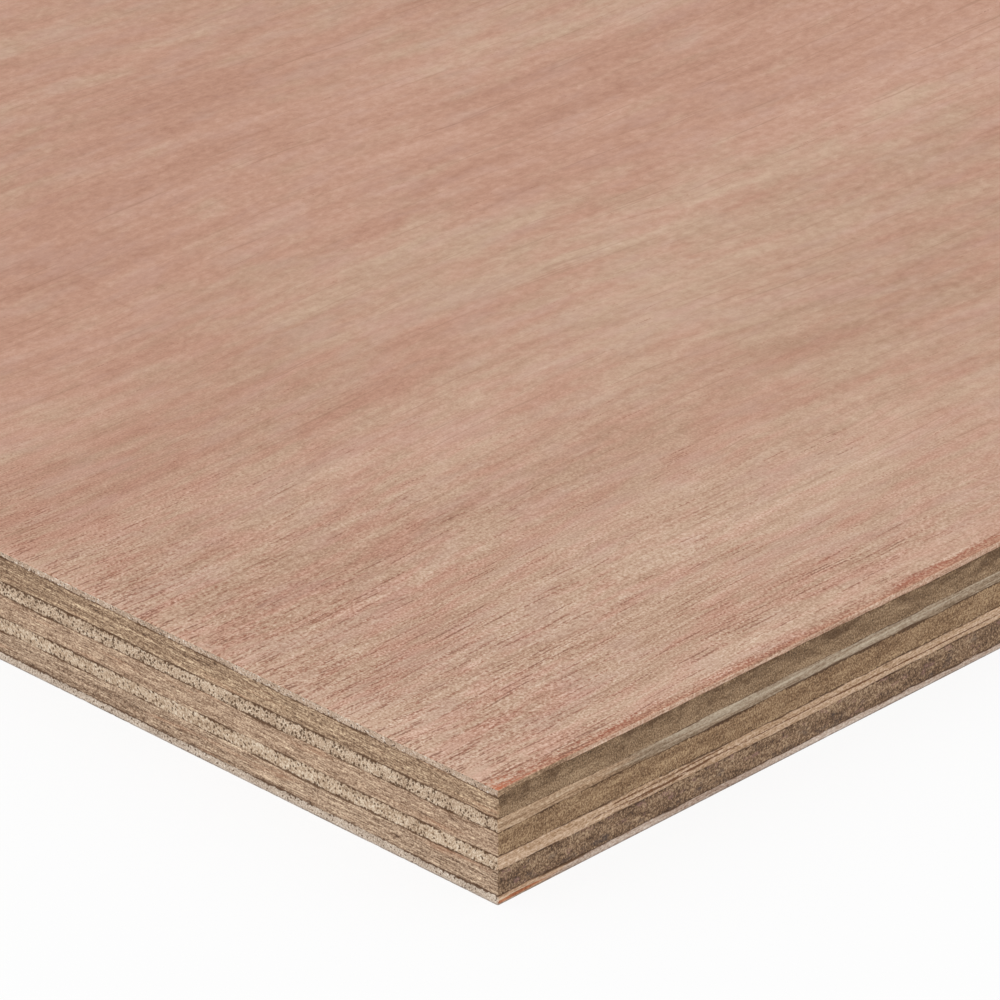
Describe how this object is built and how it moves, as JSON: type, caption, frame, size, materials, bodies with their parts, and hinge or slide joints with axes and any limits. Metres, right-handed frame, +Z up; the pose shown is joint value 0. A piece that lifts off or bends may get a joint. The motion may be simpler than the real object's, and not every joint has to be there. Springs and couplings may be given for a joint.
{
  "type": "plywood sheet",
  "caption": "Flat rectangular sheet of cross-laid wood veneers with a sanded pinkish hardwood face and sawn edges that show the layers.",
  "frame": {"origin": "middle of the underside", "axes": "+X along the sheet's length and the grain of its face, +Y across its width, +Z up through its thickness, out of the face"},
  "size_m": [2.44, 1.22, 0.018],
  "materials": {
    "face_wood": "rotary-cut tropical hardwood, fine sanded, no lacquer",
    "crossband_wood": "rotary-cut brown hardwood, sawn at the edges",
    "long_band_wood": "rotary-cut pale hardwood, sawn at the edges",
    "back_wood": "rotary-cut pale hardwood, lightly sanded, no lacquer"
  },
  "bodies": {
    "root": {"face_veneer": "face_wood", "upper_crossband": "crossband_wood", "upper_long_band": "long_band_wood", "core_crossband": "crossband_wood", "lower_long_band": "long_band_wood", "lower_crossband": "crossband_wood", "back_veneer": "back_wood"}
  },
  "joints": []
}
